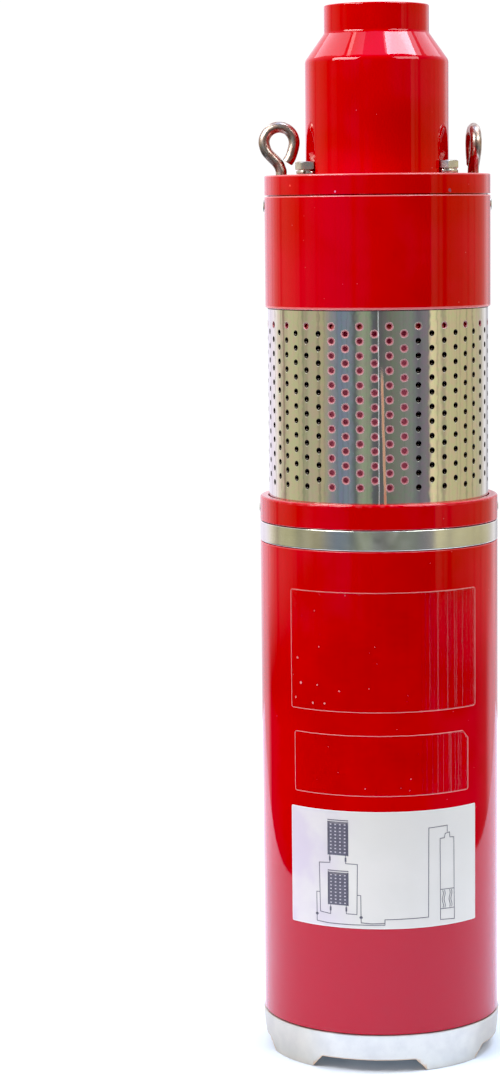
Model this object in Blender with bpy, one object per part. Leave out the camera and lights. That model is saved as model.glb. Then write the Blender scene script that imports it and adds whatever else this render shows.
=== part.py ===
"""Screw-type submersible well pump with its motor, standing upright on the motor's foot.

The axis is Z, the foot stands on z = 0 and the front with the labels faces -Y.
From the bottom: a notched aluminium foot, the motor, its bare end cover, a collar,
the perforated inlet strainer around an inner tube, the upper housing and the
discharge head, which carries four bolts, two lifting eyes and a cable gland.
"""

from math import cos, pi, radians, sin, sqrt

import bmesh
import bpy
from mathutils import Matrix, Vector

MM = 0.001
SIDES = 72
GAP = 0.3

# heights above the foot, in millimetres
FOOT_TOP = 15.8
MOTOR_BOTTOM = FOOT_TOP + GAP
MOTOR_TOP = 213.0
COVER_BOTTOM = MOTOR_TOP + GAP
COVER_TOP = 221.3
COLLAR_BOTTOM = COVER_TOP + GAP
COLLAR_FLOOR = 225.0
COLLAR_TOP = 231.7
SPIGOT_BOTTOM = 300.0
HOUSING_BOTTOM = 308.6
HOUSING_TOP = 353.8
FLANGE_BOTTOM = HOUSING_TOP + GAP
FLANGE_TOP = 362.3
CONE_BOTTOM = 408.2
CONE_TOP = 419.0
OUTLET_TOP = 430.4

# radii, in millimetres
MOTOR_R = 49.0
FOOT_TOP_R = 49.4
FOOT_BOTTOM_R = 47.5
RECESS_R = 42.0
RECESS_DEPTH = 9.0
HOUSING_R = 46.15
STRAINER_R = 45.2
STRAINER_WALL = 0.8
SEAT_R = 45.6
TUBE_R = 18.0
TUBE_X = -3.5
HEAD_R = 29.2
COLLAR_R = 21.35
THREAD_R = 15.15
THREAD_DEPTH = 22.0
PASSAGE_R = 13.5

# notches between the four feet
NOTCH_TURN = -6.5
NOTCH_HEIGHT = 5.3
NOTCH_BOTTOM_HALF = 23.5
NOTCH_TOP_HALF = 19.0

# head bolts with split washers
BOLT_PLACES = ((-28.0, -10.5, 0.0), (28.0, -10.5, 22.0), (28.0, 10.5, 41.0), (-28.0, 10.5, 13.0))
BOLT_FLATS = 9.0
BOLT_HEAD = 3.3
BOLT_SHANK_R = 2.9
BOLT_HOLE_R = 3.2
WASHER_R = 4.7
WASHER_HEIGHT = 1.35
WASHER_RISE = 0.45
SEAT_DEPTH = 0.2
POCKET_R = 5.7
POCKET_STRAIGHT = 6.1
POCKET_LEAN = 0.39
HOLE_FLOOR = 356.0

# lifting eyes bent from round bar
EYE_X = 39.1
EYE_WIRE_R = 2.3
EYE_LOOP_R = 6.16
EYE_LOOP_X = -0.8
EYE_LOOP_Z = 13.5
EYE_RIGHT_TURN = 98.0
EYE_RIGHT_DROP = 1.7

# cable gland behind the head
GLAND_Y = 37.7
GLAND_FLATS = 13.0
GLAND_NUT_FLATS = 12.4
CABLE_HOLE_R = 4.05

# socket screws that lock the threaded joints
HOUSING_SCREW_Z = 350.0
HOUSING_SCREW_R = 2.7
COLLAR_SCREW_Z = 226.2
COLLAR_SCREW_R = 2.1


def clear_scene():
    for item in list(bpy.data.objects):
        bpy.data.objects.remove(item, do_unlink=True)


def paint(name, colour, roughness, metallic):
    """Plain surface with the piece's own colour, roughness and metallic value."""
    made = bpy.data.materials.new(name)
    made.use_nodes = True
    shader = made.node_tree.nodes["Principled BSDF"]
    shader.inputs["Base Color"].default_value = (*colour, 1.0)
    shader.inputs["Roughness"].default_value = roughness
    shader.inputs["Metallic"].default_value = metallic
    made.diffuse_color = (*colour, 1.0)
    return made


RED = (0.55, 0.004, 0.012)
STEEL = (0.62, 0.61, 0.57)
ZINC = (0.58, 0.57, 0.50)
ALUMINIUM = (0.70, 0.71, 0.72)


def circle(radius, height, count=SIDES, centre=(0.0, 0.0)):
    """Points of a level circle."""
    points = []
    for k in range(count):
        angle = 2.0 * pi * k / count
        points.append(Vector((centre[0] + radius * cos(angle), centre[1] + radius * sin(angle), height)))
    return points


def hexagon_radius(angle, flats):
    """Distance from the centre to a hexagon's side in the given direction."""
    step = pi / 3.0
    return 0.5 * flats / cos((angle % step) - 0.5 * step)


def hexagon(flats, height, count=24):
    """Points of a level hexagon, four to a side."""
    points = []
    for k in range(count):
        angle = 2.0 * pi * k / count
        radius = hexagon_radius(angle, flats)
        points.append(Vector((radius * cos(angle), radius * sin(angle), height)))
    return points


def chamfered_hexagon(flats, top, crown, slope, count=24):
    """Upper edge of a hexagon whose corners a cone cuts down from a round crown."""
    points = []
    for k in range(count):
        angle = 2.0 * pi * k / count
        radius = hexagon_radius(angle, flats)
        fall = max(0.0, radius - crown) * slope
        points.append(Vector((radius * cos(angle), radius * sin(angle), top - fall)))
    return points


def skin(rings, closed=False):
    """Closed surface through rings of equal count, capped at both ends or joined end to end."""
    mesh = bmesh.new()
    rows = []
    for ring in rings:
        row = []
        for point in ring:
            row.append(mesh.verts.new(point * MM))
        rows.append(row)
    count = len(rows[0])
    pairs = list(zip(rows, rows[1:]))
    if closed:
        pairs.append((rows[-1], rows[0]))
    for lower, upper in pairs:
        for k in range(count):
            after = (k + 1) % count
            mesh.faces.new((lower[k], lower[after], upper[after], upper[k]))
    if not closed:
        mesh.faces.new(list(reversed(rows[0])))
        mesh.faces.new(rows[-1])
    bmesh.ops.recalc_face_normals(mesh, faces=mesh.faces)
    return mesh


def turned(profile, closed=False, count=SIDES, centre=(0.0, 0.0)):
    """Solid of revolution about Z from radius and height pairs."""
    rings = []
    for radius, height in profile:
        rings.append(circle(radius, height, count, centre))
    return skin(rings, closed)


def piece(name, mesh, material, sharp=35.0):
    """Named object from a mesh, shaded smooth up to the given edge angle."""
    data = bpy.data.meshes.new(name)
    mesh.to_mesh(data)
    mesh.free()
    data.materials.append(material)
    data.shade_smooth()
    data.set_sharp_from_angle(angle=radians(sharp))
    made = bpy.data.objects.new(name, data)
    bpy.context.scene.collection.objects.link(made)
    return made


def copy_of(source, name):
    """Another object with the same mesh."""
    made = bpy.data.objects.new(name, source.data)
    bpy.context.scene.collection.objects.link(made)
    return made


def place(made, x, y, z, turn=0.0):
    made.location = (x * MM, y * MM, z * MM)
    made.rotation_euler = (0.0, 0.0, radians(turn))


def cut(target, name, meshes):
    """Subtract separate closed shapes from the target with one Boolean."""
    joined = bmesh.new()
    for mesh in meshes:
        data = bpy.data.meshes.new(name + "_form")
        mesh.to_mesh(data)
        mesh.free()
        joined.from_mesh(data)
        bpy.data.meshes.remove(data)
    data = bpy.data.meshes.new(name)
    joined.to_mesh(data)
    joined.free()
    cutter = bpy.data.objects.new(name, data)
    bpy.context.scene.collection.objects.link(cutter)
    cutter.hide_render = True
    cutter.display_type = "WIRE"
    step = target.modifiers.new(name, "BOOLEAN")
    step.operation = "DIFFERENCE"
    step.solver = "EXACT"
    step.object = cutter
    return cutter


def notch_form(turn):
    """Flared slot through the foot ring, straight along its own radius."""
    flare = (NOTCH_BOTTOM_HALF - NOTCH_TOP_HALF) / NOTCH_HEIGHT
    low = NOTCH_BOTTOM_HALF + flare * 1.0
    outline = ((-low, -1.0), (low, -1.0), (NOTCH_TOP_HALF, NOTCH_HEIGHT), (-NOTCH_TOP_HALF, NOTCH_HEIGHT))
    rings = []
    for reach in (-30.0, -60.0):
        rings.append([Vector((across, reach, height)) for across, height in outline])
    form = skin(rings)
    bmesh.ops.rotate(form, cent=(0.0, 0.0, 0.0), matrix=Matrix.Rotation(radians(turn), 3, "Z"), verts=form.verts)
    return form


def build_foot():
    """Cast aluminium end cap: closed above, hollow below, with four feet."""
    inner = RECESS_R
    profile = (
        (inner - 0.5, RECESS_DEPTH),
        (inner + 0.3, 0.3),
        (inner + 0.6, 0.0),
        (FOOT_BOTTOM_R - 0.3, 0.0),
        (FOOT_BOTTOM_R, 0.3),
        (48.85, 9.0),
        (FOOT_TOP_R, FOOT_TOP - 0.4),
        (FOOT_TOP_R - 0.4, FOOT_TOP),
    )
    aluminium = paint("cast_aluminium", ALUMINIUM, 0.42, 1.0)
    foot = piece("base_foot", turned(profile), aluminium)
    forms = []
    for k in range(4):
        forms.append(notch_form(NOTCH_TURN + 90.0 * k))
    cut(foot, "foot_notches", forms)


def build_motor():
    edge = 0.4
    profile = (
        (MOTOR_R - edge, MOTOR_BOTTOM),
        (MOTOR_R, MOTOR_BOTTOM + edge),
        (MOTOR_R, MOTOR_TOP - edge),
        (MOTOR_R - edge, MOTOR_TOP),
    )
    piece("motor_body", turned(profile), paint("motor_paint", RED, 0.2, 0.0))


def build_end_cover():
    edge = 0.3
    profile = (
        (MOTOR_R - edge, COVER_BOTTOM),
        (MOTOR_R, COVER_BOTTOM + edge),
        (MOTOR_R, COVER_TOP - edge),
        (MOTOR_R - edge, COVER_TOP),
    )
    piece("motor_end_cover", turned(profile), paint("end_cover_metal", STEEL, 0.25, 1.0))


def socket_screw_mesh(radius, length, key):
    """Short socket screw along Z with its face at the top."""
    rings = [
        circle(radius - 0.2, 0.0, 24),
        circle(radius, 0.2, 24),
        circle(radius, length - 0.3, 24),
        circle(radius - 0.3, length, 24),
        hexagon(key, length),
        hexagon(key, length - 1.4),
    ]
    return skin(rings)


def place_radial(made, radius, height, turn):
    """Put a piece built along Z so that it points outward at the given turn from +X."""
    made.location = (radius * MM * cos(radians(turn)), radius * MM * sin(radians(turn)), height * MM)
    made.rotation_euler = (0.0, radians(90.0), radians(turn))


def radial_hole(radius, inner, outer, height, turn):
    """Round hole form that runs outward along a radius."""
    form = skin([circle(radius, inner, 24), circle(radius, outer, 24)])
    bmesh.ops.rotate(form, cent=(0.0, 0.0, 0.0), matrix=Matrix.Rotation(radians(90.0), 3, "Y"), verts=form.verts)
    bmesh.ops.rotate(form, cent=(0.0, 0.0, 0.0), matrix=Matrix.Rotation(radians(turn), 3, "Z"), verts=form.verts)
    bmesh.ops.translate(form, vec=(0.0, 0.0, height * MM), verts=form.verts)
    return form


def build_collar():
    """Red collar with a rounded rim and a seat that holds the strainer's lower end."""
    round_off = 1.1
    profile = [(MOTOR_R - 0.35, COLLAR_BOTTOM), (MOTOR_R, COLLAR_BOTTOM + 0.35)]
    for k in range(4):
        angle = 0.5 * pi * k / 3.0
        out = MOTOR_R - round_off + round_off * cos(angle)
        profile.append((out, COLLAR_TOP - round_off + round_off * sin(angle)))
    profile.append((SEAT_R + 0.3, COLLAR_TOP))
    profile.append((SEAT_R, COLLAR_TOP - 0.3))
    profile.append((SEAT_R, COLLAR_FLOOR))
    collar = piece("lower_collar", turned(profile), paint("collar_paint", RED, 0.2, 0.0))
    forms = []
    for turn in (0.0, 180.0):
        forms.append(radial_hole(COLLAR_SCREW_R + GAP, MOTOR_R - 2.6, MOTOR_R + 4.0, COLLAR_SCREW_Z, turn))
    cut(collar, "collar_screw_holes", forms)
    metal = paint("collar_screw_metal", ZINC, 0.3, 1.0)
    first = piece("collar_lock_screw_right", socket_screw_mesh(COLLAR_SCREW_R, 2.5, 2.0), metal)
    place_radial(first, MOTOR_R - 2.3, COLLAR_SCREW_Z, 0.0)
    second = copy_of(first, "collar_lock_screw_left")
    place_radial(second, MOTOR_R - 2.3, COLLAR_SCREW_Z, 180.0)


def build_strainer():
    """Sheet sleeve between the collar's seat and the upper housing's shoulder."""
    low = COLLAR_FLOOR + GAP
    high = HOUSING_BOTTOM - GAP
    inner = STRAINER_R - STRAINER_WALL
    profile = ((inner, low), (STRAINER_R, low), (STRAINER_R, high), (inner, high))
    piece("strainer", turned(profile, closed=True), paint("strainer_steel", STEEL, 0.16, 1.0))


def build_inner_tube():
    """Red inner tube that shows through the strainer's holes."""
    low = COLLAR_FLOOR + GAP
    high = SPIGOT_BOTTOM - GAP
    profile = ((TUBE_R - 0.5, low), (TUBE_R, low + 0.5), (TUBE_R, high - 0.5), (TUBE_R - 0.5, high))
    tube = piece("inner_tube", turned(profile, count=48), paint("inner_tube_paint", RED, 0.3, 0.0))
    place(tube, TUBE_X, 0.0, 0.0)


def build_upper_housing():
    """Upper housing with a spigot that centres the strainer and a mouth for the passage."""
    edge = 0.4
    spigot = STRAINER_R - STRAINER_WALL - GAP
    profile = (
        (spigot - edge, SPIGOT_BOTTOM),
        (spigot, SPIGOT_BOTTOM + edge),
        (spigot, HOUSING_BOTTOM),
        (HOUSING_R - edge, HOUSING_BOTTOM),
        (HOUSING_R, HOUSING_BOTTOM + edge),
        (HOUSING_R, HOUSING_TOP - edge),
        (HOUSING_R - edge, HOUSING_TOP),
        (PASSAGE_R - 0.3, HOUSING_TOP),
        (PASSAGE_R - 0.3, HOUSING_TOP - 24.0),
    )
    housing = piece("upper_housing", turned(profile), paint("housing_paint", RED, 0.2, 0.0))
    forms = []
    for turn in (0.0, 180.0):
        forms.append(radial_hole(HOUSING_SCREW_R + GAP, HOUSING_R - 4.0, HOUSING_R + 4.0, HOUSING_SCREW_Z, turn))
    cut(housing, "housing_screw_holes", forms)
    metal = paint("housing_screw_metal", ZINC, 0.3, 1.0)
    first = piece("housing_lock_screw_right", socket_screw_mesh(HOUSING_SCREW_R, 4.1, 2.6), metal)
    place_radial(first, HOUSING_R - 3.7, HOUSING_SCREW_Z, 0.0)
    second = copy_of(first, "housing_lock_screw_left")
    place_radial(second, HOUSING_R - 3.7, HOUSING_SCREW_Z, 180.0)


def pocket_form(x, y):
    """Bolt pocket: straight beside the bolt head, then leaning outward to a pointed arch."""
    reach = sqrt(x * x + y * y)
    floor = FLANGE_TOP - SEAT_DEPTH
    rings = []
    for rise, lean in ((0.0, 0.0), (POCKET_STRAIGHT, 0.0), (POCKET_STRAIGHT + 19.8, 19.8 * POCKET_LEAN)):
        scale = (reach + lean) / reach
        rings.append(circle(POCKET_R, floor + rise, 32, (x * scale, y * scale)))
    return skin(rings)


def build_head():
    """Discharge head: flange, cylinder, cone and threaded outlet collar in one casting."""
    edge = 0.4
    profile = (
        (PASSAGE_R, FLANGE_BOTTOM),
        (HOUSING_R - edge, FLANGE_BOTTOM),
        (HOUSING_R, FLANGE_BOTTOM + edge),
        (HOUSING_R, FLANGE_TOP - edge),
        (HOUSING_R - edge, FLANGE_TOP),
        (HEAD_R, FLANGE_TOP),
        (HEAD_R, CONE_BOTTOM - 0.6),
        (HEAD_R - 0.22, CONE_BOTTOM + 0.25),
        (HEAD_R - 0.75, CONE_BOTTOM + 1.05),
        (COLLAR_R + 0.35, CONE_TOP - 0.15),
        (COLLAR_R, CONE_TOP + 0.3),
        (COLLAR_R, OUTLET_TOP - 0.6),
        (COLLAR_R - 0.6, OUTLET_TOP),
        (THREAD_R + 1.0, OUTLET_TOP),
        (THREAD_R, OUTLET_TOP - 1.0),
        (THREAD_R, OUTLET_TOP - THREAD_DEPTH),
        (PASSAGE_R, OUTLET_TOP - THREAD_DEPTH - 2.0),
    )
    head = piece("discharge_head", turned(profile, closed=True), paint("head_paint", RED, 0.2, 0.0))
    pockets = []
    for x, y, turn in BOLT_PLACES:
        pockets.append(pocket_form(x, y))
    cut(head, "bolt_pockets", pockets)
    holes = []
    for x, y, turn in BOLT_PLACES:
        holes.append(turned(((BOLT_HOLE_R, HOLE_FLOOR), (BOLT_HOLE_R, FLANGE_TOP + 2.0)), count=24, centre=(x, y)))
    eye_hole = ((EYE_WIRE_R + GAP, HOLE_FLOOR - 1.0), (EYE_WIRE_R + GAP, FLANGE_TOP + 2.0))
    for side in (-1.0, 1.0):
        holes.append(turned(eye_hole, count=24, centre=(side * EYE_X, 0.0)))
    holes.append(turned(((5.2, HOLE_FLOOR), (5.2, FLANGE_TOP + 2.0)), count=32, centre=(0.0, GLAND_Y)))
    cut(head, "flange_holes", holes)


def bolt_mesh():
    """Hexagon head with a chamfered crown and a plain shank below it."""
    shank = HOLE_FLOOR + GAP - (FLANGE_TOP - SEAT_DEPTH)
    seat = 2.4
    top = seat + BOLT_HEAD
    crown = 0.5 * BOLT_FLATS * 0.97
    rings = [
        circle(BOLT_SHANK_R - 0.3, shank, 24),
        circle(BOLT_SHANK_R, shank + 0.3, 24),
        circle(BOLT_SHANK_R, seat, 24),
        hexagon(BOLT_FLATS, seat),
        chamfered_hexagon(BOLT_FLATS, top, crown, 0.6),
        circle(crown - 0.15, top, 24),
    ]
    return skin(rings)


def washer_mesh():
    """Split spring washer: a square section along one turn that rises a little."""
    inner = BOLT_HOLE_R
    steps = 24
    rings = []
    for k in range(steps + 1):
        share = k / steps
        angle = radians(8.0 + 344.0 * share)
        low = GAP + WASHER_RISE * share
        high = low + WASHER_HEIGHT
        ring = []
        for radius, height in ((inner, low), (WASHER_R, low), (WASHER_R, high), (inner, high)):
            ring.append(Vector((radius * cos(angle), radius * sin(angle), height)))
        rings.append(ring)
    return skin(rings)


def build_fasteners():
    """Four head bolts and their split washers in the pockets."""
    floor = FLANGE_TOP - SEAT_DEPTH
    bolt_metal = paint("bolt_zinc", ZINC, 0.3, 1.0)
    washer_metal = paint("washer_zinc", ZINC, 0.35, 1.0)
    bolt = None
    washer = None
    for k, (x, y, turn) in enumerate(BOLT_PLACES, 1):
        name = "head_bolt_%d" % k
        bolt = copy_of(bolt, name) if bolt else piece(name, bolt_mesh(), bolt_metal, 25.0)
        place(bolt, x, y, floor, turn)
        name = "spring_washer_%d" % k
        washer = copy_of(washer, name) if washer else piece(name, washer_mesh(), washer_metal)
        place(washer, x, y, floor, 90.0 * k + 165.0)


def eye_route():
    """Centre line of the bent eye in its own plane, from the shank's end to the open end."""
    guides = [(0.0, -5.2), (0.0, -2.8), (0.0, 0.0), (-0.12, 2.1), (-1.15, 4.6), (-3.5, 7.2), (-5.9, 9.9)]
    for angle in range(180, -1, -30):
        turn = radians(angle)
        guides.append((EYE_LOOP_X + EYE_LOOP_R * cos(turn), EYE_LOOP_Z + EYE_LOOP_R * sin(turn)))
    guides += [(4.75, 10.2), (3.8, 7.45), (2.45, 5.35)]
    route = []
    for k in range(len(guides) - 1):
        before = Vector(guides[max(k - 1, 0)])
        start = Vector(guides[k])
        end = Vector(guides[k + 1])
        after = Vector(guides[min(k + 2, len(guides) - 1)])
        for step in range(2):
            t = step / 2.0
            point = 0.5 * (
                2.0 * start
                + (end - before) * t
                + (2.0 * before - 5.0 * start + 4.0 * end - after) * t * t
                + (3.0 * start - before - 3.0 * end + after) * t * t * t
            )
            route.append(point)
    route.append(Vector(guides[-1]))
    return route


def eye_mesh():
    """Round bar swept along the eye's centre line, square to it at every point."""
    route = eye_route()
    rings = []
    for k, point in enumerate(route):
        ahead = route[min(k + 1, len(route) - 1)]
        behind = route[max(k - 1, 0)]
        along = (ahead - behind).normalized()
        side = Vector((along.y, -along.x))
        ring = []
        for j in range(12):
            angle = 2.0 * pi * j / 12
            across = EYE_WIRE_R * cos(angle)
            ring.append(Vector((point.x + side.x * across, EYE_WIRE_R * sin(angle), point.y + side.y * across)))
        rings.append(ring)
    return skin(rings)


def build_eyes():
    """Two lifting eyes screwed into the flange, turned as they happen to stand."""
    metal = paint("eye_steel", (0.52, 0.47, 0.42), 0.28, 1.0)
    left = piece("eye_bolt_left", eye_mesh(), metal, 50.0)
    place(left, -EYE_X, 0.0, FLANGE_TOP)
    right = copy_of(left, "eye_bolt_right")
    place(right, EYE_X, 0.0, FLANGE_TOP - EYE_RIGHT_DROP + GAP, EYE_RIGHT_TURN)


def build_gland():
    """Cable gland: a hexagon body in the flange, a domed nut and the rubber seal in it."""
    seat = FLANGE_TOP + GAP
    spigot = HOLE_FLOOR + GAP
    rings = [
        circle(CABLE_HOLE_R, spigot, 24),
        circle(4.9, spigot, 24),
        circle(4.9, seat, 24),
        hexagon(GLAND_FLATS, seat),
        hexagon(GLAND_FLATS, seat + 4.4),
        chamfered_hexagon(GLAND_FLATS, seat + 4.8, 6.2, 0.5),
        circle(5.4, seat + 4.8, 24),
        circle(5.4, seat + 9.2, 24),
        circle(CABLE_HOLE_R, seat + 9.2, 24),
    ]
    brass = paint("gland_plated_brass", (0.60, 0.58, 0.52), 0.3, 1.0)
    body = piece("gland_body", skin(rings, closed=True), brass, 25.0)
    place(body, 0.0, GLAND_Y, 0.0, 0.0)
    low = seat + 4.8 + GAP
    bore = 5.4 + GAP
    rings = [
        circle(bore, low, 24),
        hexagon(GLAND_NUT_FLATS, low),
        chamfered_hexagon(GLAND_NUT_FLATS, low + 6.4, 6.0, 0.5),
        circle(5.9, low + 6.6, 24),
        circle(5.75, low + 9.0, 24),
        circle(5.3, low + 10.1, 24),
        circle(4.9, low + 10.3, 24),
        circle(4.9, seat + 9.5 + GAP, 24),
        circle(bore, seat + 9.5, 24),
    ]
    nut = piece("gland_nut", skin(rings, closed=True), brass, 25.0)
    place(nut, 0.0, GLAND_Y, 0.0, 0.0)
    rings = [
        circle(CABLE_HOLE_R, seat + 9.5, 24),
        circle(4.6, seat + 9.5, 24),
        circle(4.6, low + 11.2, 24),
        circle(CABLE_HOLE_R, low + 11.2, 24),
    ]
    rubber = paint("gland_rubber", (0.012, 0.012, 0.012), 0.6, 0.0)
    seal = piece("gland_seal", skin(rings, closed=True), rubber)
    place(seal, 0.0, GLAND_Y, 0.0, 0.0)


def main():
    clear_scene()
    build_foot()
    build_motor()
    build_end_cover()
    build_collar()
    build_strainer()
    build_inner_tube()
    build_upper_housing()
    build_head()
    build_fasteners()
    build_eyes()
    build_gland()


main()
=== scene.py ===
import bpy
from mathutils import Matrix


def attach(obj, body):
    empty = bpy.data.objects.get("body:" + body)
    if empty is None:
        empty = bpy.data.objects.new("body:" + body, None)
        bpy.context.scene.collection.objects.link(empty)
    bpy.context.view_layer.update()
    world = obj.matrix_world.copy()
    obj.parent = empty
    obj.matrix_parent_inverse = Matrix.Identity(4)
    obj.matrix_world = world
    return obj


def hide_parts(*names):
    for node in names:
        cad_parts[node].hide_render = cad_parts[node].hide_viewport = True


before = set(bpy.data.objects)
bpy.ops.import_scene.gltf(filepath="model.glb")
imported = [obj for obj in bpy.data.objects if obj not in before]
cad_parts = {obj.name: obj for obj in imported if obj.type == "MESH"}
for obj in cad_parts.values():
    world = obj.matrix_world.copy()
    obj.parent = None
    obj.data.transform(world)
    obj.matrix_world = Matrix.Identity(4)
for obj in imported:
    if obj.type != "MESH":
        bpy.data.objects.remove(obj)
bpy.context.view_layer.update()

import bmesh
import bpy
import numpy as np
from mathutils import Matrix

# Dressed model of an upright screw-type well pump: its painted housings, perforated inlet sleeve,
# cast foot, head fasteners and front labels, and the studio they stand in.
# Lengths are in millimetres until a mesh is made. An azimuth is counted from the front (-Y)
# towards +X, so the point at radius r and azimuth a is (r sin a, -r cos a).

MM = 0.001
FULL = 2.0 * np.pi

# heights above the floor
FOOT_TOP = 15.8
MOTOR_TOP = 213.0
COVER_TOP = 221.3
COLLAR_FLOOR = 225.0
COLLAR_TOP = 231.7
SPIGOT_BOTTOM = 300.0
HOUSING_BOTTOM = 308.6
HOUSING_TOP = 353.8
FLANGE_TOP = 362.3
CONE_BOTTOM = 408.2
CONE_TOP = 419.2
OUTLET_TOP = 430.4
SEAM = 0.3

# radii
MOTOR_R = 49.0
HOUSING_R = 46.15
SLEEVE_R = 45.2
SLEEVE_WALL = 0.8
TUBE_R = 18.0
TUBE_X = -3.5
HEAD_R = 29.2
OUTLET_R = 21.35
BORE_R = 15.15
PASSAGE_R = 13.5

# one inch pipe thread
THREAD_PITCH = 2.309
THREAD_DEPTH = 1.3
THREAD_END = 408.4

# bolts: x, y and turn in degrees
BOLTS = np.array([(-28.0, -10.5, 29.0), (28.0, -10.5, 8.0), (28.0, 10.5, 41.0), (-28.0, 10.5, 13.0)])
POCKET_R = 5.7
POCKET_STRAIGHT = 368.2
POCKET_LEAN = 0.39
BOLT_SEAT = 362.1
EYE_X = 39.1
GLAND_Y = 37.7
HOUSING_SCREW_Z = 350.0
COLLAR_SCREW_Z = 226.2

# inlet sleeve: columns of 11 and 12 holes in turn
HOLE_COLUMNS = 48
HOLE_LEVELS = 12
HOLE_PITCH = 5.82
HOLE_TOP = 302.2
HOLE_TURN = np.radians(-1.75)
# the sleeve paints a red reflection in the holes inside this band, and caps the holes outside it with painted shade
# where the tube shows: degrees left of the front, and to both sides of there
TUBE_SEEN_MIDDLE = 5.5
TUBE_SEEN_HALF = 22.5

# labels on the motor: arc from and to, height from and to
FILM_UPPER = (-39.9, 44.5, 148.2, 196.7)
FILM_LOWER = (-38.1, 39.9, 114.2, 139.0)
STICKER = (-40.2, 44.2, 60.0, 108.0)
# how far they and the sticker's lines, terminals and cells stand off the motor, and thicknesses
LABEL_FACE, LINE_FACE, TERMINAL_FACE, CELL_FACE = 0.12, 0.17, 0.18, 0.20
LABEL_THICK, INK_THICK = 0.08, 0.02


# ---- shapes ----

def at(radius, azimuth, height):
    """The point at radius r, azimuth a and height z is (r sin a, -r cos a, z); the arrays broadcast together."""
    radius, azimuth, height = np.broadcast_arrays(radius, azimuth, height)
    return np.stack((radius * np.sin(azimuth), -radius * np.cos(azimuth), height), -1)


def unit(vectors):
    """The same directions at length 1."""
    return vectors / np.linalg.norm(vectors, axis=-1, keepdims=True)


def eased(corners, steps=4):
    """Profile with eased corners. Each corner p of (radius, height, cut) becomes the parabola
    (1-t)^2 a + 2t(1-t) p + t^2 b between the points a and b that lie its cut before and after it,
    with a guard point a little further out on each side. Returns points and marks, 1 on the arcs."""
    corners = np.asarray(corners, float)
    p, cut = corners[:, :2], corners[:, 2:]
    back, on = unit(np.roll(p, 1, 0) - p), unit(np.roll(p, -1, 0) - p)
    t = np.linspace(0.0, 1.0, steps)[None, :, None]
    a, b = p + back * cut, p + on * cut
    arc = (1 - t) ** 2 * a[:, None] + 2 * t * (1 - t) * p[:, None] + t * t * b[:, None]
    rows = np.concatenate(((p + back * cut * 1.7)[:, None], arc, (p + on * cut * 1.7)[:, None]), 1)
    marks = np.ones(rows.shape[:2])
    marks[:, [0, -1]] = 0.0
    return rows.reshape(-1, 2), marks.ravel() * np.repeat(cut.ravel() > 0, steps + 2)


def azimuths(step, fine=()):
    """Azimuths a step apart in degrees round a full turn, with the given extra ones, as sorted radians."""
    degrees = np.concatenate([np.arange(0.0, 360.0, step), *fine]) % 360.0
    return np.radians(np.unique(np.round(degrees, 4)))


def around(count):
    """So many angles round a full turn."""
    return np.linspace(0.0, FULL, count, endpoint=False)[None, :]


def grid(points, mark=0.0, rows_close=False, columns_close=True):
    """A grid of points with a mark for each, and whether its rows and its columns join up."""
    return points, np.broadcast_to(np.asarray(mark, float), points.shape[:2]), rows_close, columns_close


def turned(corners, step=2.0, middle=(0.0, 0.0)):
    """Turned shape: the eased profile (r, z) carried round the axis, so its point is at(r, a, z)."""
    profile, marks = eased(corners)
    points = at(profile[:, :1], azimuths(step)[None, :], profile[:, 1:])
    return grid(points + (*middle, 0.0), marks[:, None])


def quads(rows, columns, rows_close, columns_close):
    """Four corner numbers for every cell of a grid."""
    r = np.arange(rows - 1 + rows_close)[:, None]
    c = np.arange(columns - 1 + columns_close)[None, :]
    up, beside = (r + 1) % rows, (c + 1) % columns
    cells = np.broadcast_arrays(r * columns + c, r * columns + beside, up * columns + beside, up * columns + c)
    return np.stack(cells, -1).reshape(-1, 4)


def placed(name, data, axes=None):
    """Adds an object to the scene; axes are its x, y and z and its place."""
    made = bpy.data.objects.new(name, data)
    if axes is not None:
        pose = np.eye(4)
        pose[:3] = np.stack(axes, 1)
        made.matrix_world = Matrix(pose.tolist())
    bpy.context.scene.collection.objects.link(made)
    return made


def read(rows, key, width=3, kind=np.float32):
    """What a mesh's rows hold under the key, as an array of that width."""
    values = np.empty(len(rows) * width, kind)
    rows.foreach_get(key, values)
    return values.reshape(-1, width)


def piece(name, grids, finish, stands_for=None, crease=35.0, looks=None, thick=0.0):
    """Makes a piece from grids in millimetres: points that meet are merged, faces of a closed shell turn
    outwards, edges over the crease angle stay sharp, and a thickness is added under an open sheet. looks
    gives each point's own surface direction."""
    points, marks = [g[0].reshape(-1, 3) for g in grids], [g[1].ravel() for g in grids]
    starts = np.cumsum([0] + [len(p) for p in points])
    cells = [quads(*g[0].shape[:2], *g[2:]) + s for g, s in zip(grids, starts)]
    mesh = bpy.data.meshes.new(name)
    mesh.from_pydata(np.concatenate(points) * MM, [], np.concatenate(cells).tolist())
    mesh.attributes.new("mark", "FLOAT", "POINT").data.foreach_set("value", np.concatenate(marks))
    if looks is not None:
        mesh.attributes.new("looks", "FLOAT_VECTOR", "POINT").data.foreach_set("vector", looks.ravel())
    mesh.materials.append(finish)
    merged = bmesh.new()
    merged.from_mesh(mesh)
    bmesh.ops.remove_doubles(merged, verts=merged.verts, dist=1e-6)
    if not thick:
        bmesh.ops.recalc_face_normals(merged, faces=merged.faces)
    merged.to_mesh(mesh)
    merged.free()
    mesh.shade_smooth()
    mesh.set_sharp_from_angle(angle=np.radians(crease))
    if looks is not None:
        kept = read(mesh.attributes["looks"].data, "vector").tolist()
        mesh.attributes.remove(mesh.attributes["looks"])
        mesh.normals_split_custom_set_from_vertices(kept)
    made = placed(name, mesh)
    if thick:
        wall = made.modifiers.new("thickness", "SOLIDIFY")
        wall.thickness = thick * MM
        wall.offset = -1.0
    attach(made, "root")
    if stands_for:
        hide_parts(stands_for)
    return made


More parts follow.
